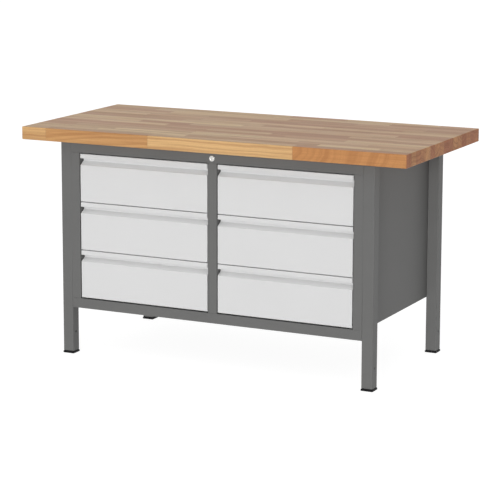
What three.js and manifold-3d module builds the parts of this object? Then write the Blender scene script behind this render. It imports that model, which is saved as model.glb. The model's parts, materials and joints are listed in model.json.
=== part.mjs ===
// A steel workbench: beech worktop, square tube legs, two banks of three drawers on telescopic
// slides, and one central lock whose cylinder lifts a lock bar.
// Millimetres. +Z up, the floor is z = 0, the origin is under the middle of the worktop, and the
// drawers open towards -Y.
import * as THREE from "three";
import { mergeVertices } from "three/addons/utils/BufferGeometryUtils.js";
import Module from "manifold-3d";

const wasm = await Module();
wasm.setup();

// ---- driving dimensions ----

const worktopLength = 1500;
const worktopDepth = 700;
const worktopThickness = 47;
const benchHeight = 840;
const frontOverhang = 51; // worktop edge to the legs' front faces
const rearOverhang = 3;
const sideOverhang = 133.5;

const legSide = 42;
const legWall = 2;
const legCorner = 3; // outside radius of the tube's corners
const bracketHoleHeight = 79; // floor to the centre of the hole for a floor bracket
const bracketHoleDiameter = 9;

const footHeight = 6; // the flared part of a foot cap
const footFlare = 1.7; // how far it stands out past the leg
const footNeckHeight = 3;
const footNeckInset = 0.5;
const footPlugLength = 24; // the part pushed up into the tube

const topRailHeight = 42;
const bottomRailHeight = 36;
const railDepth = 30;
const railWall = 2;

const stileWidth = 34.5; // the strip of steel between a leg and the drawers
const postWidth = 35; // the centre post between the two banks
const sheet = 1.2; // thickness of all the folded sheet
const foldRadius = 0.8; // inside radius of a fold
const columnReturn = 14;
const postReturn = 8;

const panelFlange = 26;
const panelDrop = 4.5; // the side panels' lower edge, below the top of the bottom rails
const backPanelFlange = 12;
const floorFlange = 10;

const frontHeight = 175.5;
const frontGap = 2.5; // from one drawer front to the next
const frontSideGap = 3; // from a front to the stile or the centre post beside it
const frontEndGap = 4; // above the top fronts and below the bottom ones
const frontRecess = 3; // the fronts sit this far behind the legs' faces
const frontFlange = 25; // how far the lower and side flanges of a front reach back

// The grip channel in a front, measured down from its top edge and in from its face.
const gripStrip = 17;
const gripDepth = 23;
const gripLipFall = 1.5;
const gripWallDrop = 9.5;
const gripSlopeDrop = 13.5;
const gripTopFlange = 10;
const gripFlangeGap = 4; // from the channel down to the side flanges

const trayLift = 10; // the tray's floor above the front's lower edge
const trayHeadroom = 15.5; // the tray's rim below the front's top edge
const trayRearRoom = 36.2; // from the tray's back to the back panel

const slideSpace = 13; // from the cabinet's wall to the tray's wall
const slideHeight = 45;
const slideLift = 52; // the tray's floor to the middle of the slide
const slideWall = 1.2;
const ballTrack = 3.1; // between two members, where the balls run
const cabinetFlangeEnd = 2.5; // the cabinet member's flanges stop short of the tray
const middleWebOffset = 4; // the cabinet's wall to the middle member's web
const middleFlangeEnd = 2;
const railFlangeEnd = 1.3; // the tray's rail stops short of the middle member's web

const lockDrop = 25; // the lock's axis below the top of the frame
const lockRimDiameter = 21;
const lockRimThickness = 3;
const lockRimChamfer = 0.8;
const lockBarrelDiameter = 18;
const lockBarrelTail = 3; // behind the front top rail
const lockPlugDiameter = 12;
const lockPlugProud = 0.8;
const keySlotWidth = 2.6;
const keySlotHeight = 8.5;
const keySlotDepth = 6;
const camBehindRail = 7;
const camThickness = 2;
const camHubDiameter = 13;
const camPinDiameter = 4;

const lockLift = 10; // how far the bar rises while the key makes a quarter turn
const lockBarWidth = 24;
const lockBarThickness = 2;
const lockBarFoot = 30; // the bar's lower end, above the lowest front's lower edge
const lockBarHead = 5; // of bar above the cam's slot
const lockSlotPlay = 0.5; // around the cam's pin
const lockTabReach = 3; // out of the centre post's walls
const lockTabHeight = 12;
const lockTabLift = 100; // a tray's floor to the middle of its tabs

// ---- clearances ----

const contactGap = 0.3; // between two pieces that touch
const runGap = 0.8; // between two pieces that slide past each other
const overlap = 1; // how far pieces are run together before a join

// ---- places that follow from the sizes ----

const frameTop = benchHeight - worktopThickness;
const legX = worktopLength / 2 - sideOverhang - legSide / 2;
const legInnerX = legX - legSide / 2;
const frontY = -worktopDepth / 2 + frontOverhang;
const rearY = worktopDepth / 2 - rearOverhang;
const footTop = footHeight + footNeckHeight;

const rows = ["top", "middle", "bottom"];
const frontPitch = frontHeight + frontGap;
const railTop = frameTop - contactGap;
const topRailBottom = frameTop - topRailHeight;
const highestFrontTop = topRailBottom - frontEndGap;
const lowestFrontBottom = highestFrontTop - (rows.length - 1) * frontPitch - frontHeight;
const bottomRailTop = lowestFrontBottom - frontEndGap;
const bottomRailBottom = bottomRailTop - bottomRailHeight;
const railEndX = legInnerX - contactGap;
const frontRailBackY = frontY + railDepth;
const rearRailFrontY = rearY - railDepth;

const panelLift = bottomRailTop - panelDrop;
const panelOuterX = legInnerX - contactGap;
const panelFlangeX = panelOuterX - panelFlange;
const columnX = legInnerX - stileWidth; // the side columns' faces beside the drawers
const postX = postWidth / 2;
const bankWidth = columnX - postX;

const backPanelY = rearRailFrontY - contactGap; // rear face of the back panel
const backPanelFaceY = backPanelY - sheet;
const floorTop = panelLift + 2 * sheet + contactGap; // the cabinet floor's upper face
const backPanelBottom = floorTop + contactGap;
const columnBottom = Math.max(bottomRailTop, backPanelBottom + sheet) + contactGap;
const columnTop = topRailBottom - contactGap;
const columnBackY = backPanelFaceY - contactGap;

const frontFaceY = frontY + frontRecess;
const gripDrop = gripStrip + gripLipFall + gripWallDrop + gripSlopeDrop;
const trayFrontY = frontFaceY + frontFlange + contactGap;
const trayBackY = backPanelFaceY - trayRearRoom;
const trayHeight = frontHeight - trayLift - trayHeadroom;
const trayWidth = bankWidth - 2 * slideSpace;
const slideFrontY = trayFrontY + contactGap;

const lockHeight = frameTop - lockDrop;
const lockRimFrontY = frontY - contactGap - lockRimThickness;
const camY = frontRailBackY + camBehindRail; // front face of the cam
const camRadius = lockLift / Math.SQRT2; // lock axis to the cam's pin
const camPinZ = lockHeight - lockLift / 2;
const lockBarY = camY + camThickness + runGap; // front face of the lock bar
const camPinLength = runGap + lockBarThickness + runGap;
const lockBarBottom = lowestFrontBottom + lockBarFoot;
const lockSlotHeight = camPinDiameter + 2 * lockSlotPlay;
const lockBarTop = camPinZ + lockSlotHeight / 2 + lockBarHead;

const wood = { color: 0xc89a68, roughness: 0.5, metalness: 0 };
const greyPaint = { color: 0x6e6f6c, roughness: 0.5, metalness: 0.1 };
const lightPaint = { color: 0xdcdcdb, roughness: 0.45, metalness: 0.1 };
const blackPlastic = { color: 0x151515, roughness: 0.6, metalness: 0 };
const zinc = { color: 0xb4b7ba, roughness: 0.35, metalness: 0.9 };
const chrome = { color: 0xd8dad8, roughness: 0.2, metalness: 1 };

// ---- helpers ----

// A geometry as a solid that can be joined and cut.
function toSolid(geometry) {
  const bare = geometry.clone();
  bare.deleteAttribute("normal");
  bare.deleteAttribute("uv");
  const merged = mergeVertices(bare, 1e-4);
  const vertProperties = new Float32Array(merged.attributes.position.array);
  const triVerts = new Uint32Array(merged.index.array);
  return new wasm.Manifold(new wasm.Mesh({ numProp: 3, vertProperties, triVerts }));
}

function toGeometry(solid) {
  const mesh = solid.getMesh();
  const geometry = new THREE.BufferGeometry();
  geometry.setAttribute("position", new THREE.Float32BufferAttribute(mesh.vertProperties, 3));
  geometry.setIndex([...mesh.triVerts]);
  geometry.computeVertexNormals();
  return geometry;
}

function join(first, ...others) {
  return toGeometry(others.reduce((sum, next) => sum.add(toSolid(next)), toSolid(first)));
}

function cut(first, ...others) {
  return toGeometry(others.reduce((rest, next) => rest.subtract(toSolid(next)), toSolid(first)));
}

// A box given by its lowest and highest corners.
function block(low, high) {
  const size = high.map((value, axis) => value - low[axis]);
  const geometry = new THREE.BoxGeometry(...size);
  geometry.translate(...low.map((value, axis) => value + size[axis] / 2));
  return geometry;
}

// A cylinder along "x" or "y", from one end to the other.
function rod(axis, diameter, from, to, centre, sides = 24) {
  const geometry = new THREE.CylinderGeometry(diameter / 2, diameter / 2, to - from, sides);
  if (axis === "x") {
    geometry.rotateZ(Math.PI / 2);
  }
  const middle = (from + to) / 2;
  const place = axis === "x" ? [middle, ...centre] : [centre[0], middle, centre[1]];
  geometry.translate(...place);
  return geometry;
}

// The arc that rounds one corner of a path, for a fold of the given radius.
function roundedCorner(before, corner, after, radius) {
  const incoming = corner.clone().sub(before).normalize();
  const outgoing = after.clone().sub(corner).normalize();
  const turn = Math.atan2(incoming.cross(outgoing), incoming.dot(outgoing));
  const setBack = radius * Math.tan(Math.abs(turn) / 2);
  const start = corner.clone().addScaledVector(incoming, -setBack);
  const side = Math.sign(turn);
  const centre = start.clone().add(new THREE.Vector2(-incoming.y, incoming.x).multiplyScalar(side * radius));
  const steps = Math.max(1, Math.round(Math.abs(turn) / (Math.PI / 6)));
  const arc = [];
  for (let step = 0; step <= steps; step += 1) {
    arc.push(start.clone().rotateAround(centre, (turn * step) / steps));
  }
  return arc;
}

// The outline of a folded sheet. The sheet lies to the left of the path, and every bend is round.
function foldedSheet(corners, thickness = sheet) {
  const path = corners.map(([a, b]) => new THREE.Vector2(a, b));
  const last = path.length - 1;
  const leftOf = (from, to) => {
    const along = to.clone().sub(from).normalize();
    return new THREE.Vector2(-along.y, along.x);
  };
  const near = [path[0]];
  const far = [path[0].clone().addScaledVector(leftOf(path[0], path[1]), thickness)];
  for (let index = 1; index < last; index += 1) {
    const into = leftOf(path[index - 1], path[index]);
    const out = leftOf(path[index], path[index + 1]);
    const mitre = into.clone().add(out);
    mitre.multiplyScalar(thickness / mitre.dot(into));
    const shifted = path[index].clone().add(mitre);
    const turnsLeft = into.cross(out) > 0;
    const nearRadius = foldRadius + (turnsLeft ? thickness : 0);
    const farRadius = foldRadius + (turnsLeft ? 0 : thickness);
    const move = shifted.clone().sub(path[index]);
    const before = path[index - 1].clone().add(move);
    const after = path[index + 1].clone().add(move);
    near.push(...roundedCorner(path[index - 1], path[index], path[index + 1], nearRadius));
    far.push(...roundedCorner(before, shifted, after, farRadius));
  }
  near.push(path[last]);
  far.push(path[last].clone().addScaledVector(leftOf(path[last - 1], path[last]), thickness));
  return new THREE.Shape([...near, ...far.reverse()]);
}

// A square with round corners, centred on the origin.
function roundedSquare(side, radius, Kind = THREE.Shape) {
  const half = side / 2;
  const outline = new Kind();
  outline.moveTo(half, -half + radius);
  for (let corner = 0; corner < 4; corner += 1) {
    const angle = (corner * Math.PI) / 2;
    const centre = new THREE.Vector2(half - radius, half - radius).rotateAround(new THREE.Vector2(), angle);
    outline.absarc(centre.x, centre.y, radius, angle, angle + Math.PI / 2, false);
  }
  outline.closePath();
  return outline;
}

// A rectangular tube's section, with its lower left corner at (a, b).
function boxSection(a, b, width, height, wall) {
  const corner = (inset, Kind) => {
    const outline = new Kind();
    outline.moveTo(a + inset, b + inset);
    outline.lineTo(a + width - inset, b + inset);
    outline.lineTo(a + width - inset, b + height - inset);
    outline.lineTo(a + inset, b + height - inset);
    outline.closePath();
    return outline;
  };
  const section = corner(0, THREE.Shape);
  section.holes.push(corner(wall, THREE.Path));
  return section;
}

function extrude(shape, length, curveSegments = 3) {
  return new THREE.ExtrudeGeometry(shape, { depth: length, bevelEnabled: false, curveSegments });
}

const axisX = new THREE.Vector3(1, 0, 0);
const axisY = new THREE.Vector3(0, 1, 0);
const axisZ = new THREE.Vector3(0, 0, 1);

// A section drawn in (y, z), run along X from one end to the other.
function alongX(section, from, to) {
  const geometry = extrude(section, to - from);
  geometry.applyMatrix4(new THREE.Matrix4().makeBasis(axisY, axisZ, axisX));
  geometry.translate(from, 0, 0);
  return geometry;
}

// A section drawn in (x, z), run along Y.
function alongY(section, from, to) {
  const geometry = extrude(section, to - from);
  const backwards = axisY.clone().negate();
  geometry.applyMatrix4(new THREE.Matrix4().makeBasis(axisX, axisZ, backwards));
  geometry.translate(0, to, 0);
  return geometry;
}

// A section drawn in (x, y), run along Z.
function alongZ(section, from, to) {
  const geometry = extrude(section, to - from);
  geometry.translate(0, 0, from);
  return geometry;
}

const bench = new THREE.Group();

function add(name, geometry, finish, parent = bench) {
  const mesh = new THREE.Mesh(geometry, new THREE.MeshStandardMaterial(finish));
  mesh.name = name;
  parent.add(mesh);
  return mesh;
}

// The same section on the other side of the bench.
function mirrored(points) {
  return points.map(([a, b]) => [-a, b]).reverse();
}

// ---- worktop ----

function addWorktop() {
  const low = [-worktopLength / 2, -worktopDepth / 2, frameTop];
  const high = [worktopLength / 2, worktopDepth / 2, benchHeight];
  add("worktop", block(low, high), wood);
}

// ---- legs and feet ----

function addLegs() {
  const plugSide = legSide - 2 * legWall - 2 * contactGap;
  const plugCorner = legCorner - legWall;
  const section = roundedSquare(legSide, legCorner);
  section.holes.push(roundedSquare(legSide - 2 * legWall, plugCorner, THREE.Path));
  const tube = alongZ(section, footTop + contactGap, railTop);
  const leg = cut(tube, rod("x", bracketHoleDiameter, -legSide, legSide, [0, bracketHoleHeight], 16));

  const flare = alongZ(roundedSquare(legSide + 2 * footFlare, legCorner), 0, footHeight);
  const neck = alongZ(roundedSquare(legSide - 2 * footNeckInset, legCorner), footHeight - overlap, footTop);
  const plug = alongZ(roundedSquare(plugSide, plugCorner), footTop - overlap, footTop + footPlugLength);
  const foot = join(flare, neck, plug);

  for (const [row, y] of [["front", frontY + legSide / 2], ["rear", rearY - legSide / 2]]) {
    for (const [side, x] of [["left", -legX], ["right", legX]]) {
      const corner = new THREE.Group();
      corner.position.set(x, y, 0);
      bench.add(corner);
      add(`leg_${row}_${side}`, leg, greyPaint, corner);
      add(`foot_cap_${row}_${side}`, foot, blackPlastic, corner);
    }
  }
}

// ---- rails between the legs ----

function addRails() {
  const upperHeight = railTop - topRailBottom;
  const lowerBottoms = { front: bottomRailBottom, rear: panelLift }; // the rear one is behind the panels
  for (const [row, y] of [["front", frontY], ["rear", rearRailFrontY]]) {
    const upper = boxSection(y, topRailBottom, railDepth, upperHeight, railWall);
    const lower = boxSection(y, lowerBottoms[row], railDepth, bottomRailHeight, railWall);
    const topRail = alongX(upper, -railEndX, railEndX);
    const holeDiameter = lockBarrelDiameter + 2 * contactGap;
    const lockHole = rod("y", holeDiameter, y - overlap, y + railDepth + overlap, [0, lockHeight]);
    add(`${row}_top_rail`, row === "front" ? cut(topRail, lockHole) : topRail, greyPaint);
    add(`${row}_bottom_rail`, alongX(lower, -railEndX, railEndX), greyPaint);
  }
}

// ---- panels ----

function addPanels() {
  const side = [
    [panelFlangeX, panelLift],
    [panelOuterX, panelLift],
    [panelOuterX, railTop],
    [panelFlangeX, railTop],
  ];
  const panelFrontY = frontRailBackY + contactGap;
  add("side_panel_right", alongY(foldedSheet(side), panelFrontY, backPanelY), greyPaint);
  add("side_panel_left", alongY(foldedSheet(mirrored(side)), panelFrontY, backPanelY), greyPaint);

  // The back panel stands between the side panels, under their upper flanges.
  const backX = panelOuterX - sheet - contactGap;
  const backTop = railTop - sheet - contactGap;
  const back = [
    [backPanelY - backPanelFlange, backTop],
    [backPanelY, backTop],
    [backPanelY, backPanelBottom],
    [backPanelY - backPanelFlange, backPanelBottom],
  ];
  add("back_panel", alongX(foldedSheet(back.reverse()), -backX, backX), greyPaint);

  // The floor lies between the side panels' lower flanges and turns down against the front rail.
  const floorX = panelFlangeX - contactGap;
  const bottom = [
    [backPanelY, floorTop],
    [panelFrontY, floorTop],
    [panelFrontY, floorTop - floorFlange],
  ];
  add("cabinet_floor", alongX(foldedSheet(bottom), -floorX, floorX), greyPaint);
}

// ---- columns beside and between the drawers ----

// The height of a row's front above the floor, at its lower edge.
function rowBottom(row) {
  return highestFrontTop - rows.indexOf(row) * frontPitch - frontHeight;
}

// The middle of a row's lock tabs, with the bar down.
function tabHeight(row) {
  return rowBottom(row) + trayLift + lockTabLift;
}

function addColumns() {
  const side = [
    [columnX + columnReturn, columnBackY],
    [columnX, columnBackY],
    [columnX, frontY],
    [railEndX, frontY],
  ];
  add("right_column", alongZ(foldedSheet(side), columnBottom, columnTop), greyPaint);
  add("left_column", alongZ(foldedSheet(mirrored(side)), columnBottom, columnTop), greyPaint);

  const post = [
    [-postX + postReturn, columnBackY],
    [-postX, columnBackY],
    [-postX, frontY],
    [postX, frontY],
    [postX, columnBackY],
    [postX - postReturn, columnBackY],
  ];
  const slots = rows.map((row) => {
    const middle = tabHeight(row);
    const low = middle - lockTabHeight / 2 - runGap;
    const high = middle + lockTabHeight / 2 + lockLift + runGap;
    const slotBack = lockBarY + lockBarThickness + runGap;
    return block([-postX - overlap, lockBarY - runGap, low], [postX + overlap, slotBack, high]);
  });
  add("centre_column", cut(alongZ(foldedSheet(post), columnBottom, columnTop), ...slots), greyPaint);
}

// ---- drawers and their slides, drawn from the cabinet wall on their left ----

// A channel's section: a web at x = web, and flanges that run to x = end.
function channelSection(web, end, halfHeight, middle) {
  const wall = Math.sign(end - web) * slideWall;
  const inner = halfHeight - slideWall;
  const points = [
    [web, -halfHeight],
    [end, -halfHeight],
    [end, -inner],
    [web + wall, -inner],
    [web + wall, inner],
    [end, inner],
    [end, halfHeight],
    [web, halfHeight],
  ];
  const outline = points.map(([x, z]) => new THREE.Vector2(x, middle + z));
  return new THREE.Shape(wall > 0 ? outline : outline.reverse());
}

function drawerFront() {
  const face = frontFaceY;
  const left = frontSideGap;
  const right = bankWidth - frontSideGap;
  const lip = frontHeight - gripStrip;
  const wallTop = lip - gripLipFall;
  const wallBottom = wallTop - gripWallDrop;
  const profile = [
    [face + gripTopFlange, frontHeight],
    [face, frontHeight],
    [face, lip],
    [face + gripDepth, wallTop],
    [face + gripDepth, wallBottom],
    [face, frontHeight - gripDrop],
    [face, 0],
    [face + frontFlange, 0],
  ];
  const flangeTop = frontHeight - gripDrop - gripFlangeGap;
  const inside = sheet / 2;
  // The side flanges are set in, in line with the tray's walls.
  const flanges = [slideSpace, bankWidth - slideSpace - sheet].map((x) =>
    block([x, face + inside, inside], [x + sheet, face + frontFlange, flangeTop]),
  );
  return join(alongX(foldedSheet(profile), left, right), ...flanges);
}

const slideMiddle = trayLift + slideLift;
const cabinetHalf = slideHeight / 2;
const middleHalf = cabinetHalf - slideWall - ballTrack;
const trayRailHalf = middleHalf - slideWall - ballTrack;

function drawerTray() {
  const low = [slideSpace, trayFrontY, trayLift];
  const high = [slideSpace + trayWidth, trayBackY, trayLift + trayHeight];
  const hollowLow = low.map((value) => value + sheet);
  const hollowHigh = [high[0] - sheet, high[1] - sheet, high[2] + overlap];
  const shell = cut(block(low, high), block(hollowLow, hollowHigh));
  const flange = middleWebOffset + slideWall + railFlangeEnd;
  const rails = [
    channelSection(slideSpace, flange, trayRailHalf, slideMiddle),
    channelSection(bankWidth - slideSpace, bankWidth - flange, trayRailHalf, slideMiddle),
  ];
  const backs = [slideSpace - sheet / 2, bankWidth - slideSpace - sheet / 2].map((x) =>
    block(
      [x, slideFrontY, slideMiddle - trayRailHalf],
      [x + sheet, trayBackY, slideMiddle + trayRailHalf],
    ),
  );
  return join(shell, ...rails.map((section) => alongY(section, slideFrontY, trayBackY)), ...backs);
}

function slideMember(web, end, halfHeight) {
  return alongY(channelSection(web, end, halfHeight, slideMiddle), slideFrontY, trayBackY);
}

function addDrawers() {
  const front = drawerFront();
  const tray = drawerTray();
  const fixed = slideMember(contactGap, slideSpace - cabinetFlangeEnd, cabinetHalf);
  const middle = slideMember(middleWebOffset, slideSpace - middleFlangeEnd, middleHalf);
  for (const [bank, x] of [["left", -columnX], ["right", postX]]) {
    for (const row of rows) {
      const place = new THREE.Group();
      place.position.set(x, 0, rowBottom(row));
      bench.add(place);
      const drawer = `${bank}_${row}`;
      add(`${drawer}_drawer_front`, front, lightPaint, place);
      add(`${drawer}_drawer_tray`, tray, lightPaint, place);
      for (const [side, turn] of [["left", 0], ["right", Math.PI]]) {
        // The slide on the right is the left one turned about the drawer's upright axis.
        const holder = new THREE.Group();
        const middleY = (slideFrontY + trayBackY) / 2;
        holder.position.set(turn ? bankWidth : 0, turn ? 2 * middleY : 0, 0);
        holder.rotation.z = turn;
        place.add(holder);
        add(`${drawer}_cabinet_slide_${side}`, fixed, zinc, holder);
        add(`${drawer}_middle_slide_${side}`, middle, zinc, holder);
      }
    }
  }
}

// ---- central lock ----

function addLock() {
  const group = new THREE.Group();
  group.position.set(0, 0, lockHeight);
  bench.add(group);

  const bore = lockPlugDiameter / 2 + contactGap;
  const barrel = lockBarrelDiameter / 2;
  const rim = lockRimDiameter / 2;
  const rimBackY = frontY - contactGap;
  const tailY = frontRailBackY + lockBarrelTail;
  const profile = [
    [bore, lockRimFrontY],
    [rim - lockRimChamfer, lockRimFrontY],
    [rim, lockRimFrontY + lockRimChamfer],
    [rim, rimBackY],
    [barrel, rimBackY],
    [barrel, tailY],
    [bore, tailY],
    [bore, lockRimFrontY],
  ];
  const turned = new THREE.LatheGeometry(profile.map(([r, y]) => new THREE.Vector2(r, y)), 24);
  add("lock_housing", turned, chrome, group);

  const plugFrontY = lockRimFrontY - lockPlugProud;
  const plug = rod("y", lockPlugDiameter, plugFrontY, camY - contactGap, [0, 0]);
  const slotX = keySlotWidth / 2;
  const slotZ = keySlotHeight / 2;
  const slot = block([-slotX, plugFrontY - overlap, -slotZ], [slotX, plugFrontY + keySlotDepth, slotZ]);
  add("lock_cylinder", cut(plug, slot), chrome, group);

  const pinX = lockLift / 2;
  const pinZ = -lockLift / 2;
  const hub = rod("y", camHubDiameter, camY, camY + camThickness, [0, 0]);
  const armRadius = camPinDiameter;
  const arm = rod("y", 2 * armRadius, camY, camY + camThickness, [pinX, pinZ]);
  const pinStart = camY + camThickness - overlap;
  const pinEnd = camY + camThickness + camPinLength;
  const pin = rod("y", camPinDiameter, pinStart, pinEnd, [pinX, pinZ], 16);
  add("lock_cam", join(hub, arm, pin), zinc, group);
}

function addLockBar() {
  const back = lockBarY + lockBarThickness;
  const half = lockBarWidth / 2;
  const strip = block([-half, lockBarY, lockBarBottom], [half, back, lockBarTop]);
  const reach = postX + lockTabReach;
  const tabs = rows.map((row) => {
    const middle = tabHeight(row);
    const low = middle - lockTabHeight / 2;
    return block([-reach, lockBarY, low], [reach, back, low + lockTabHeight]);
  });
  const slotLeft = lockLift / 2 - camPinDiameter / 2 - lockSlotPlay;
  const slotRight = camRadius + camPinDiameter / 2 + lockSlotPlay;
  const low = camPinZ - lockSlotHeight / 2;
  const slot = block(
    [slotLeft, lockBarY - overlap, low],
    [slotRight, back + overlap, low + lockSlotHeight],
  );
  add("lock_bar", cut(join(strip, ...tabs), slot), zinc);
}

addWorktop();
addLegs();
addRails();
addPanels();
addColumns();
addDrawers();
addLock();
addLockBar();

export default bench;
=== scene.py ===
import json
import math
import random

import bmesh
import bpy
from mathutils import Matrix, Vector


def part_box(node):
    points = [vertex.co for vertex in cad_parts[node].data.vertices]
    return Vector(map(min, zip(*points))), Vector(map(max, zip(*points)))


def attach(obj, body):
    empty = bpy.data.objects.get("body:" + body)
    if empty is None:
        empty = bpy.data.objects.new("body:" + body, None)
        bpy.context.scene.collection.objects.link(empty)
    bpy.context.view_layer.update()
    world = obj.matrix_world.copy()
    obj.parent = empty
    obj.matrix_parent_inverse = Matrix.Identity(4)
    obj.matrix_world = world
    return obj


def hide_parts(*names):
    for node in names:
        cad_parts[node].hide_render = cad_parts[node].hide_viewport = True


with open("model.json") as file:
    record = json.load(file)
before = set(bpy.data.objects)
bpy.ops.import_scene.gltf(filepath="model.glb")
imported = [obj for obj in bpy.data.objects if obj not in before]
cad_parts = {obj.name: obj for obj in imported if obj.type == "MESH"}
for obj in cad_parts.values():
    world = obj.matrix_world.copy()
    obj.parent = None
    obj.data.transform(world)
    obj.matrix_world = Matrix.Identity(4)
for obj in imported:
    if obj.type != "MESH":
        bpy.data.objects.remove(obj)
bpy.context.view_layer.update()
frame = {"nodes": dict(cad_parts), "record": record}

# Workbench with six drawers: beech worktop, powder-coated steel frame, light grey drawer fronts.
# Everything is in metres, and the floor is z = 0.

nodes = frame["nodes"]
hair = 1e-6  # points nearer than this are one point


def report(text):
    print("scene: " + text)


cameraSettings = {
    "place": (3.271, -6.678, 1.896),
    "turn": 26.8,  # degrees to the left of straight on
    "tilt": -10.09,
    "lens": 149.3,
    "shift": (0.051, -0.1),
}


def makeCamera(s):
    data = bpy.data.cameras.new("camera")
    data.lens = s["lens"]
    data.sensor_width = 36
    data.shift_x, data.shift_y = s["shift"]
    data.clip_end = 200
    camera = bpy.data.objects.new("camera", data)
    camera.location = s["place"]
    camera.rotation_euler = (math.radians(90 + s["tilt"]), 0, math.radians(s["turn"]))
    bpy.context.scene.collection.objects.link(camera)
    bpy.context.scene.camera = camera


makeCamera(cameraSettings)
report("camera placed")


# A socket that can stand in a Python expression. Each operator adds a Math node.
class Wire:
    def __init__(self, sheet, socket):
        self.sheet = sheet
        self.socket = socket

    def math(self, operation, *others):
        values = dict(enumerate((self,) + others))
        return self.sheet.node("Math", {"operation": operation}, values)

    def __add__(self, other):
        return self.math("ADD", other)

    def __radd__(self, other):
        return self.math("ADD", other)

    def __sub__(self, other):
        return self.math("SUBTRACT", other)

    def __rsub__(self, other):
        return self.sheet.node("Math", {"operation": "SUBTRACT"}, {0: other, 1: self})

    def __mul__(self, other):
        return self.math("MULTIPLY", other)

    def __rmul__(self, other):
        return self.math("MULTIPLY", other)

    def __abs__(self):
        return self.math("ABSOLUTE")


# The node tree of a material or of the studio's sky.
class Sheet:
    def __init__(self, tree):
        self.tree = tree

    # Any node: its type, its settings, then the values or links of its sockets.
    def node(self, kind, settings=None, sockets=None, out=0):
        made = self.tree.nodes.new("ShaderNode" + kind)
        for key, value in (settings or {}).items():
            setattr(made, key, value)
        for key, value in (sockets or {}).items():
            if isinstance(value, Wire):
                self.feed(value, made.inputs[key])
            else:
                made.inputs[key].default_value = value
        return Wire(self, made.outputs[out])

    def feed(self, wire, socket):
        self.tree.links.new(wire.socket, socket)

    def parts(self, vector):
        return [self.node("SeparateXYZ", sockets={0: vector}, out=i) for i in range(3)]

    def vector(self, x, y, z):
        return self.node("CombineXYZ", sockets={0: x, 1: y, 2: z})

    def stretch(self, vector, factors):
        return self.node("VectorMath", {"operation": "MULTIPLY"}, {0: vector, 1: factors})

    def mix(self, factor, first, second):
        return self.node("Mix", {"data_type": "RGBA"}, {0: factor, 6: first, 7: second}, out=2)

    def tint(self, first, second):
        settings = {"data_type": "RGBA", "blend_type": "MULTIPLY"}
        return self.node("Mix", settings, {0: 1.0, 6: first, 7: second}, out=2)

    def noise(self, vector, scale, detail=2.0, rough=0.5):
        values = {"Vector": vector, "Scale": scale, "Detail": detail, "Roughness": rough}
        return self.node("TexNoise", {}, values)

    # A smooth step from 0 to 1 as value goes from low to high.
    def ease(self, value, low, high):
        values = {"Value": value, "From Min": low, "From Max": high}
        return self.node("MapRange", {"interpolation_type": "SMOOTHSTEP"}, values)


# A material, with what is the same all over the surface set on the shader's own sockets.
class Finish(Sheet):
    def __init__(self, name, **constants):
        self.material = bpy.data.materials.new(name)
        self.material.use_nodes = True
        super().__init__(self.material.node_tree)
        self.shader = self.tree.nodes["Principled BSDF"]
        for socket, value in constants.items():
            self.shader.inputs[socket.replace("_", " ")].default_value = value

    def place(self):
        return self.node("TexCoord", out="Object")

    # The three numbers that each face of the worktop's skin carries under this name.
    def carried(self, name):
        return self.parts(self.node("Attribute", {"attribute_name": name}, out="Vector"))

    def colour(self, wire):
        self.feed(wire, self.shader.inputs["Base Color"])

    def roughness(self, wire):
        self.feed(wire, self.shader.inputs["Roughness"])

    def lacquer(self, wire):
        self.feed(wire, self.shader.inputs["Coat Weight"])

    def bump(self, height, distance, strength=1.0):
        values = {"Height": height, "Distance": distance, "Strength": strength}
        self.feed(self.node("Bump", {}, values, out="Normal"), self.shader.inputs["Normal"])


# An sRGB colour, each part from 0 to 255, as the linear colour that a socket takes.
def paint(red, green, blue):
    def straight(part):
        part /= 255
        return part / 12.92 if part <= 0.04045 else ((part + 0.055) / 1.055) ** 2.4
    return (straight(red), straight(green), straight(blue), 1)


lightSettings = {
    "sky": {"front": 0.25, "back": 1.10, "overhead": 0.36, "fade": 0.55, "turn": (-0.2, 0.6)},
    "front": {"strength": 2.00, "softness": 20, "from": (0.30, -1.0, 0.10)},
    "above": {"strength": 0.60, "softness": 60, "from": (0.1, -0.7, 1.0)},
}


def makeSun(name, s):
    data = bpy.data.lights.new(name, "SUN")
    data.energy = s["strength"]
    data.angle = math.radians(s["softness"])
    sun = bpy.data.objects.new(name, data)
    sun.rotation_euler = Vector(s["from"]).to_track_quat("Z", "Y").to_euler()
    bpy.context.scene.collection.objects.link(sun)


# The studio is bright behind the bench and dim in front of it, where the lamps do the work. It
# fades overhead, and in the same way below the floor.
def makeSky(s):
    world = bpy.data.worlds.new("studio")
    world.use_nodes = True
    sky = Sheet(world.node_tree)
    _, y, z = sky.parts(sky.node("TexCoord", out="Generated"))
    wall = sky.ease(y, *s["turn"]) * (s["back"] - s["front"]) + s["front"]
    away = sky.ease(abs(z), 0.0, s["fade"])
    background = sky.tree.nodes["Background"]
    background.inputs["Color"].default_value = (1, 1, 1, 1)
    sky.feed(wall + away * (s["overhead"] - wall), background.inputs["Strength"])
    bpy.context.scene.world = world


makeSky(lightSettings["sky"])
makeSun("front light", lightSettings["front"])
makeSun("light from above", lightSettings["above"])
bpy.context.scene.view_settings.view_transform = "Standard"
report("lights placed")


floorSettings = {"colour": (0.30, 0.30, 0.30, 1), "light": (1, 1, 1, 1), "glow": 0.90, "reach": 60}


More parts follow.
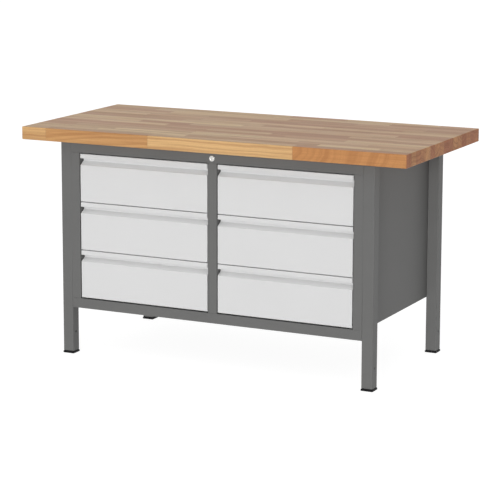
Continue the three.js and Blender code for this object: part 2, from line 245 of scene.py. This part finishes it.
def makeFloor(s):
    glow = {"Emission_Color": s["light"], "Emission_Strength": s["glow"]}
    finish = Finish("studio floor", Base_Color=s["colour"], Roughness=0.9, Specular_IOR_Level=0, **glow)
    mesh = bpy.data.meshes.new("floor")
    build = bmesh.new()
    bmesh.ops.create_grid(build, x_segments=1, y_segments=1, size=s["reach"])
    build.to_mesh(mesh)
    build.free()
    mesh.materials.append(finish.material)
    floor = bpy.data.objects.new("floor", mesh)
    bpy.context.scene.collection.objects.link(floor)
    floor.visible_diffuse = False  # it looks white, but lights nothing: the sky below it does


makeFloor(floorSettings)
report("floor laid")


boardSettings = {
    "lanes": 16,
    "seed": 11,
    "arris": 0.0022,
    "lengths": (0.20, 0.50),
    "first": 0.12,  # a lane's first and last stave are at least this long
    "last": 0.10,
    "stagger": 0.05,  # a joint keeps this far from those of the lane before
    "nudge": 0.03,  # and moves on by this until it does
    "paleTones": (0, 0.35),
    "deepTones": (0.6, 1),
    # where a stave's pith runs: how far to the side, how far above or below, and how it leans
    "pithBeside": 0.05,
    "pithOff": (0.03, 0.11),
    "lean": 0.03,
    # joints, tones and lean of the lane that shows on the front edge
    "frontJoints": (-0.649, -0.230, 0.333),
    "frontTones": (0.36, 0.64, 0.16, 0.88),
    "frontSlopes": (0.06, 0.16, 0.03, 0.36),
    # tones that show on the right-hand end, lane by lane from the front
    "endTones": (
        0.95, 0.10, 0.60, 0.50, 0.05, 0.85, 0.20, 0.45,
        1.0, 0.90, 0.25, 0.50, 0.95, 0.70, 0.90, 0.75,
    ),
    "away": 1.0,  # an outer face has no glue line, so its joint is put this far off
}


class Stave:
    def __init__(self, low, high, tone, dice, s):
        self.low = low
        self.high = high
        self.tone = tone
        self.warmth = dice.random()
        self.seed = dice.random()
        side = dice.choice((-1, 1))
        self.pithY = dice.uniform(-s["pithBeside"], s["pithBeside"])
        self.pithZ = side * dice.uniform(*s["pithOff"])
        self.slope = dice.uniform(-s["lean"], s["lean"])


# Each lane's staves, butted end to end, so that no two neighbours' joints line up.
def layStaves(s, low, high):
    dice = random.Random(s["seed"])
    lanes = []
    before = []
    for lane in range(s["lanes"]):
        if lane == 0:
            joints = list(s["frontJoints"])
        else:
            joints = []
            reach = low[0] + dice.uniform(s["first"], s["lengths"][1])
            while reach < high[0] - s["last"]:
                if all(abs(reach - other) > s["stagger"] for other in before):
                    joints.append(reach)
                    reach += dice.uniform(*s["lengths"])
                else:
                    reach += s["nudge"]
        before = joints
        ends = [low[0], *joints, high[0]]
        staves = []
        for index, (start, stop) in enumerate(zip(ends, ends[1:])):
            tone = dice.choice((dice.uniform(*s["paleTones"]), dice.uniform(*s["deepTones"])))
            if lane == 0:
                tone = s["frontTones"][index]
            elif stop == high[0]:
                tone = s["endTones"][lane]
            staves.append(Stave(start, stop, tone, dice, s))
            if lane == 0:
                staves[-1].slope = s["frontSlopes"][index]
        lanes.append(staves)
    return lanes


# The board's skin: one face for each side of each stave that shows, with the stave's facts on it.
def makeBoard(s):
    low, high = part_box("worktop")
    lanes = layStaves(s, low, high)
    width = (high[1] - low[1]) / s["lanes"]
    mesh = bpy.data.meshes.new("beech_worktop")
    build = bmesh.new()
    grain = build.faces.layers.float_vector.new("grain")
    pith = build.faces.layers.float_vector.new("pith")
    ends = build.faces.layers.float_vector.new("ends")
    sides = build.faces.layers.float_vector.new("sides")
    bottom, top = low[2], high[2]

    def face(corners, stave, lane):
        made = build.faces.new([build.verts.new(corner) for corner in corners])
        near = low[1] + lane * width
        far = near + width
        made[grain] = (stave.tone, stave.warmth, stave.seed)
        made[pith] = ((near + far) / 2 + stave.pithY, (bottom + top) / 2 + stave.pithZ, stave.slope)
        start = stave.low if stave.low > low[0] else low[0] - s["away"]
        stop = stave.high if stave.high < high[0] else high[0] + s["away"]
        made[ends] = (start, stop, 0)
        nearJoint = near if lane else near - s["away"]
        farJoint = far if lane < s["lanes"] - 1 else far + s["away"]
        made[sides] = (nearJoint, farJoint, 0)

    for lane, staves in enumerate(lanes):
        front = low[1] + lane * width
        back = front + width
        for stave in staves:
            a, b = stave.low, stave.high
            skin = [
                [(a, front, top), (b, front, top), (b, back, top), (a, back, top)],
                [(a, back, bottom), (b, back, bottom), (b, front, bottom), (a, front, bottom)],
            ]
            if lane == 0:
                skin.append([(a, front, bottom), (b, front, bottom), (b, front, top), (a, front, top)])
            if lane == s["lanes"] - 1:
                skin.append([(b, back, bottom), (a, back, bottom), (a, back, top), (b, back, top)])
            for corners in skin:
                face(corners, stave, lane)
        for x, stave, flip in ((low[0], staves[0], True), (high[0], staves[-1], False)):
            corners = [(x, front, bottom), (x, back, bottom), (x, back, top), (x, front, top)]
            face(corners[::-1] if flip else corners, stave, lane)
    # The joints of two lanes meet in T shapes, so every seam gets all the points that lie on it.
    bmesh.ops.remove_doubles(build, verts=build.verts, dist=hair)
    closeSeams(build)
    build.to_mesh(mesh)
    build.free()
    board = bpy.data.objects.new("beech_worktop", mesh)
    bpy.context.scene.collection.objects.link(board)
    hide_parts("worktop")
    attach(board, "frame")
    return board


# Splits each lane edge at the points of its neighbours that lie on it, and joins what then matches.
def closeSeams(build):
    rows = {}
    for vertex in build.verts:
        rows.setdefault((round(vertex.co.y, 5), round(vertex.co.z, 5)), set()).add(vertex.co.x)
    for edge in list(build.edges):
        start, stop = edge.verts
        if abs(start.co.x - stop.co.x) < hair:
            continue
        if start.co.x > stop.co.x:
            start, stop = stop, start
        row = rows[(round(start.co.y, 5), round(start.co.z, 5))]
        inside = sorted(x for x in row if start.co.x + hair < x < stop.co.x - hair)
        anchor = start
        current = edge
        for x in inside:
            share = (x - anchor.co.x) / (stop.co.x - anchor.co.x)
            piece, vertex = bmesh.utils.edge_split(current, anchor, share)
            current = next(e for e in vertex.link_edges if stop in e.verts)
            anchor = vertex
    bmesh.ops.remove_doubles(build, verts=build.verts, dist=hair)


beechSettings = {
    "pale": paint(236, 202, 140),
    "deep": paint(192, 126, 62),
    "rose": paint(206, 144, 98),
    "late": paint(158, 98, 48),
    "fleck": paint(104, 60, 32),
    "seam": paint(84, 50, 28),
    "end": paint(216, 180, 142),  # what end grain makes of the base colour
    # how strongly each shows, from 0 to 1
    "roseShare": 0.30,
    "wideShare": 0.26,
    "ringShare": 0.42,
    "streakShare": 0.20,
    "fleckShare": 0.40,
    "endRingShare": 0.25,
    "rayShare": 0.22,
    "seamShare": 0.45,
    "glueLine": 0.0003,
    "rough": 0.36,
    "lacquer": 0.20,
    "relief": 0.00018,  # depth of the seams, flecks and pores
}


def beechFinish(s):
    wood = Finish("oiled beech", Roughness=0.42, Specular_IOR_Level=0.4, Coat_Roughness=0.3)
    place = wood.place()
    x, y, z = wood.parts(place)
    tone, warmth, seed = wood.carried("grain")
    pithY, pithZ, slope = wood.carried("pith")
    start, stop, _ = wood.carried("ends")
    near, far, _ = wood.carried("sides")
    normal = wood.node("NewGeometry", out="True Normal")
    endGrain = wood.ease(abs(wood.parts(normal)[0]), 0.5, 0.9)

    # Growth rings: round a pith line that leans a little, and warped along the stave.
    local = wood.vector(x + seed * 37, y + seed * 11, z + seed * 5)
    sway = wood.noise(wood.stretch(local, (4, 9, 9)), 1.0, 2.0) - 0.5
    ripple = wood.noise(wood.stretch(local, (14, 70, 70)), 1.0, 3.0) - 0.5
    across = y - pithY - slope * x
    up = z - pithZ
    radius = (across * across + up * up).math("SQRT") + sway * 0.022 + ripple * 0.003
    broad = wood.noise(wood.vector(radius * 130, seed * 50, x * 0.8), 1.0, 1.0)
    narrow = wood.noise(wood.vector(radius * 420, seed * 70, x * 1.5), 1.0, 2.0, 0.6)
    ring = wood.ease(broad * 0.6 + narrow * 0.4, 0.42, 0.66)

    # Streaks along the grain, fine pores, and the small dark ray flecks that mark beech.
    wide = wood.noise(wood.stretch(local, (1.3, 45, 45)), 1.0, 2.0, 0.6)
    streaks = wood.noise(wood.stretch(local, (5, 420, 420)), 1.0, 3.0, 0.55)
    pores = wood.noise(wood.stretch(local, (60, 2200, 2200)), 1.0, 2.0, 0.6)
    cells = wood.stretch(local, (130, 900, 900))
    fleckAt = wood.node("TexVoronoi", {"feature": "F1"}, {"Vector": cells, "Scale": 1.0})
    fleck = (1 - wood.ease(fleckAt, 0.16, 0.30)) * wood.ease(pores, 0.42, 0.55)

    base = wood.mix(tone, s["pale"], s["deep"])
    base = wood.mix(warmth * s["roseShare"], base, s["rose"])
    base = wood.mix(wood.ease(wide, 0.40, 0.60) * s["wideShare"], base, s["late"])
    base = wood.mix(ring * s["ringShare"], base, s["late"])
    base = wood.mix(wood.ease(streaks, 0.46, 0.62) * s["streakShare"], base, s["late"])
    base = wood.mix(fleck * s["fleckShare"] * (1 - endGrain), base, s["fleck"])

    # End grain drinks more oil: darker, with rays running out from the pith.
    angle = across.math("ARCTAN2", up)
    rays = wood.noise(wood.vector(angle * 160, radius * 60, seed * 9), 1.0, 2.0, 0.6)
    endBase = wood.mix(ring * s["endRingShare"], wood.tint(base, s["end"]), s["fleck"])
    endBase = wood.mix(wood.ease(rays, 0.52, 0.75) * s["rayShare"], endBase, s["pale"])
    base = wood.mix(endGrain, base, endBase)

    # Glue lines between lanes and at the butt joints.
    toLane = (y - near).math("MINIMUM", far - y)
    toEnd = (x - start).math("MINIMUM", stop - x)
    toJoint = toLane.math("MINIMUM", toEnd)
    seam = 1 - wood.ease(toJoint, s["glueLine"] * 0.5, s["glueLine"] * 1.6)
    base = wood.mix(seam * s["seamShare"], base, s["seam"])
    wood.colour(base)

    polish = wood.noise(place, 6.0, 3.0)
    wood.roughness(polish * 0.10 + ring * 0.05 + fleck * 0.1 + endGrain * 0.12 + s["rough"])
    wood.lacquer(s["lacquer"] * (1 - endGrain))
    wood.bump(1 - seam * 0.8 - fleck * 0.35 - pores * 0.18 - ring * 0.12, s["relief"], 0.7)
    return wood.material


board = makeBoard(boardSettings)
board.data.materials.append(beechFinish(beechSettings))
report("worktop built")


paintSettings = {
    "frame": {"colour": paint(111, 111, 110), "rough": 0.52, "gloss": 0.15, "mottle": 0.05},
    "drawer": {"colour": paint(222, 222, 222), "rough": 0.40, "gloss": 0.4, "mottle": 0.012},
}


# Powder coat: a fine orange-peel skin on an evenly sprayed colour.
def powderCoat(name, s):
    coat = Finish(name, Roughness=s["rough"], Specular_IOR_Level=s["gloss"])
    place = coat.place()
    peel = coat.noise(place, 900, 2.0, 0.55)
    broad = coat.noise(place, 5, 3.0, 0.5)
    fine = coat.noise(place, 2600, 1.0)
    dark = tuple(part * (1 - s["mottle"]) for part in s["colour"][:3]) + (1,)
    light = tuple(part * (1 + s["mottle"]) for part in s["colour"][:3]) + (1,)
    coat.colour(coat.mix(coat.ease(broad * 0.4 + fine * 0.6, 0.36, 0.64), dark, light))
    coat.roughness(broad * 0.08 + fine * 0.05 + (s["rough"] - 0.065))
    coat.bump(peel, 0.00006, 0.35)
    return coat.material


plasticSettings = {"colour": (0.004, 0.004, 0.0045, 1), "scuff": (0.014, 0.014, 0.014, 1)}


def mouldedPlastic(s):
    plastic = Finish("black plastic", Roughness=0.55, Specular_IOR_Level=0.2)
    place = plastic.place()
    grainy = plastic.noise(place, 1400, 2.0, 0.6)
    scuffs = plastic.noise(plastic.stretch(place, (30, 30, 220)), 1.0, 4.0, 0.7)
    plastic.colour(plastic.mix(plastic.ease(scuffs, 0.60, 0.78) * 0.5, s["colour"], s["scuff"]))
    plastic.roughness(scuffs * 0.2 + 0.42)
    plastic.bump(grainy, 0.00008, 0.4)
    return plastic.material


metalSettings = {
    "zinc": {"colour": (0.55, 0.565, 0.58, 1), "shade": (0.36, 0.38, 0.40, 1), "rough": 0.30},
    "nickel": {"colour": (0.80, 0.795, 0.77, 1), "shade": (0.62, 0.61, 0.58, 1), "rough": 0.22},
}


# Plated steel: drawn lines along the piece and the cloudy spangle of the plating.
def platedSteel(name, s, drawn):
    plate = Finish(name, Metallic=1.0, Roughness=s["rough"])
    place = plate.place()
    lines = plate.noise(plate.stretch(place, drawn), 1.0, 3.0, 0.6)
    clouds = plate.noise(place, 45, 3.0, 0.6)
    plate.colour(plate.mix(plate.ease(lines * 0.5 + clouds * 0.5, 0.35, 0.65), s["shade"], s["colour"]))
    plate.roughness(lines * 0.16 + clouds * 0.10 + (s["rough"] - 0.10))
    plate.bump(lines, 0.00003, 0.4)
    return plate.material


greyCoat = powderCoat("grey powder coat", paintSettings["frame"])
lightCoat = powderCoat("light grey powder coat", paintSettings["drawer"])
blackPlastic = mouldedPlastic(plasticSettings)
zincPlate = platedSteel("zinc plate", metalSettings["zinc"], (40, 6, 1500))
nickelPlate = platedSteel("nickel plate", metalSettings["nickel"], (500, 30, 500))
report("finishes mixed")


# width of the soft arrises, by material slot and for the trays
softening = {
    "grey_paint": 0.0005,
    "light_paint": 0.0004,
    "black_plastic": 0.0012,
    "zinc": 0.0002,
    "chrome": 0.0003,
    "tray": 0.0001,
}
finishOf = {
    "grey_paint": greyCoat,
    "light_paint": lightCoat,
    "black_plastic": blackPlastic,
    "zinc": zincPlate,
    "chrome": nickelPlate,
}


# A modifier's node group that shades every face smooth, for the normals that come after it.
def makeSmoothing():
    group = bpy.data.node_groups.new("smooth shading", "GeometryNodeTree")
    group.interface.new_socket("Geometry", in_out="INPUT", socket_type="NodeSocketGeometry")
    group.interface.new_socket("Geometry", in_out="OUTPUT", socket_type="NodeSocketGeometry")
    start = group.nodes.new("NodeGroupInput")
    smooth = group.nodes.new("GeometryNodeSetShadeSmooth")
    end = group.nodes.new("NodeGroupOutput")
    group.links.new(start.outputs[0], smooth.inputs["Geometry"])
    group.links.new(smooth.outputs[0], end.inputs[0])
    return group


smoothing = makeSmoothing()


edgeSettings = {"arris": 40, "flat": 0.5}  # degrees between faces: from here an edge, up to here flat


# Soft arrises and clean shading, as modifiers, so the mesh itself stays as it is.
def softenEdges(piece, width, segments=2):
    soften = piece.modifiers.new("soften", "BEVEL")
    soften.width = width
    soften.segments = segments
    soften.limit_method = "ANGLE"
    soften.angle_limit = math.radians(edgeSettings["arris"])
    piece.modifiers.new("smooth", "NODES").node_group = smoothing
    piece.modifiers.new("even", "WEIGHTED_NORMAL").keep_sharp = False


def dressNode(name, slotName):
    node = nodes[name]
    node.material_slots[0].material = finishOf[slotName]
    weld = node.modifiers.new("weld", "WELD")
    weld.merge_threshold = hair
    if name.endswith("tray"):  # a tray's walls run round its slide rails, so they stay in triangles
        softenEdges(node, softening["tray"])
        return
    flat = node.modifiers.new("flat", "DECIMATE")
    flat.decimate_type = "DISSOLVE"
    flat.angle_limit = math.radians(edgeSettings["flat"])
    softenEdges(node, softening[slotName])


for part in frame["record"]["subparts"]:
    if part["node"] != "worktop":
        dressNode(part["node"], part["material_slot"])
softenEdges(board, boardSettings["arris"], 3)
report("nodes dressed")


beadSettings = {
    "sink": 0.0004,  # behind the steel's face
    "depth": 0.0020,
    "reach": 0.0026,  # to either side of the seam
    "sides": 8,
}


# A painted bead that fills the groove between two pieces of steel and runs from start to stop.
def makeBead(name, start, stop, outward, across, s):
    mesh = bpy.data.meshes.new(name)
    build = bmesh.new()
    rings = []
    for end in (start, stop):
        ring = []
        for index in range(s["sides"]):
            angle = math.pi * (index / (s["sides"] - 1))
            side = math.cos(angle) * s["reach"]
            out = math.sin(angle) * s["depth"] - s["depth"] - s["sink"]
            ring.append(build.verts.new(Vector(end) + Vector(across) * side + Vector(outward) * out))
        rings.append(ring)
    for index in range(s["sides"]):
        after = (index + 1) % s["sides"]
        build.faces.new([rings[0][index], rings[0][after], rings[1][after], rings[1][index]])
    build.faces.new(rings[0][::-1])
    build.faces.new(rings[1])
    bmesh.ops.recalc_face_normals(build, faces=build.faces)
    build.to_mesh(mesh)
    build.free()
    mesh.materials.append(greyCoat)
    bead = bpy.data.objects.new(name, mesh)
    bpy.context.scene.collection.objects.link(bead)
    bead.modifiers.new("smooth", "NODES").node_group = smoothing
    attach(bead, "frame")


# Each front leg is welded to its column and to both front rails along one upright seam.
def makeBeads(s):
    _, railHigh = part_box("front_top_rail")
    railLow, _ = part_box("front_bottom_rail")
    for side, sign in (("left", -1), ("right", 1)):
        legLow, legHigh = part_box(f"leg_front_{side}")
        seam = legLow.x if sign > 0 else legHigh.x
        start = (seam, legLow.y, railLow.z)
        stop = (seam, legLow.y, railHigh.z)
        makeBead(f"weld_{side}", start, stop, (0, -1, 0), (1, 0, 0), s)


makeBeads(beadSettings)
report("beads laid")


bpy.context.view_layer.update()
report("sizes written")
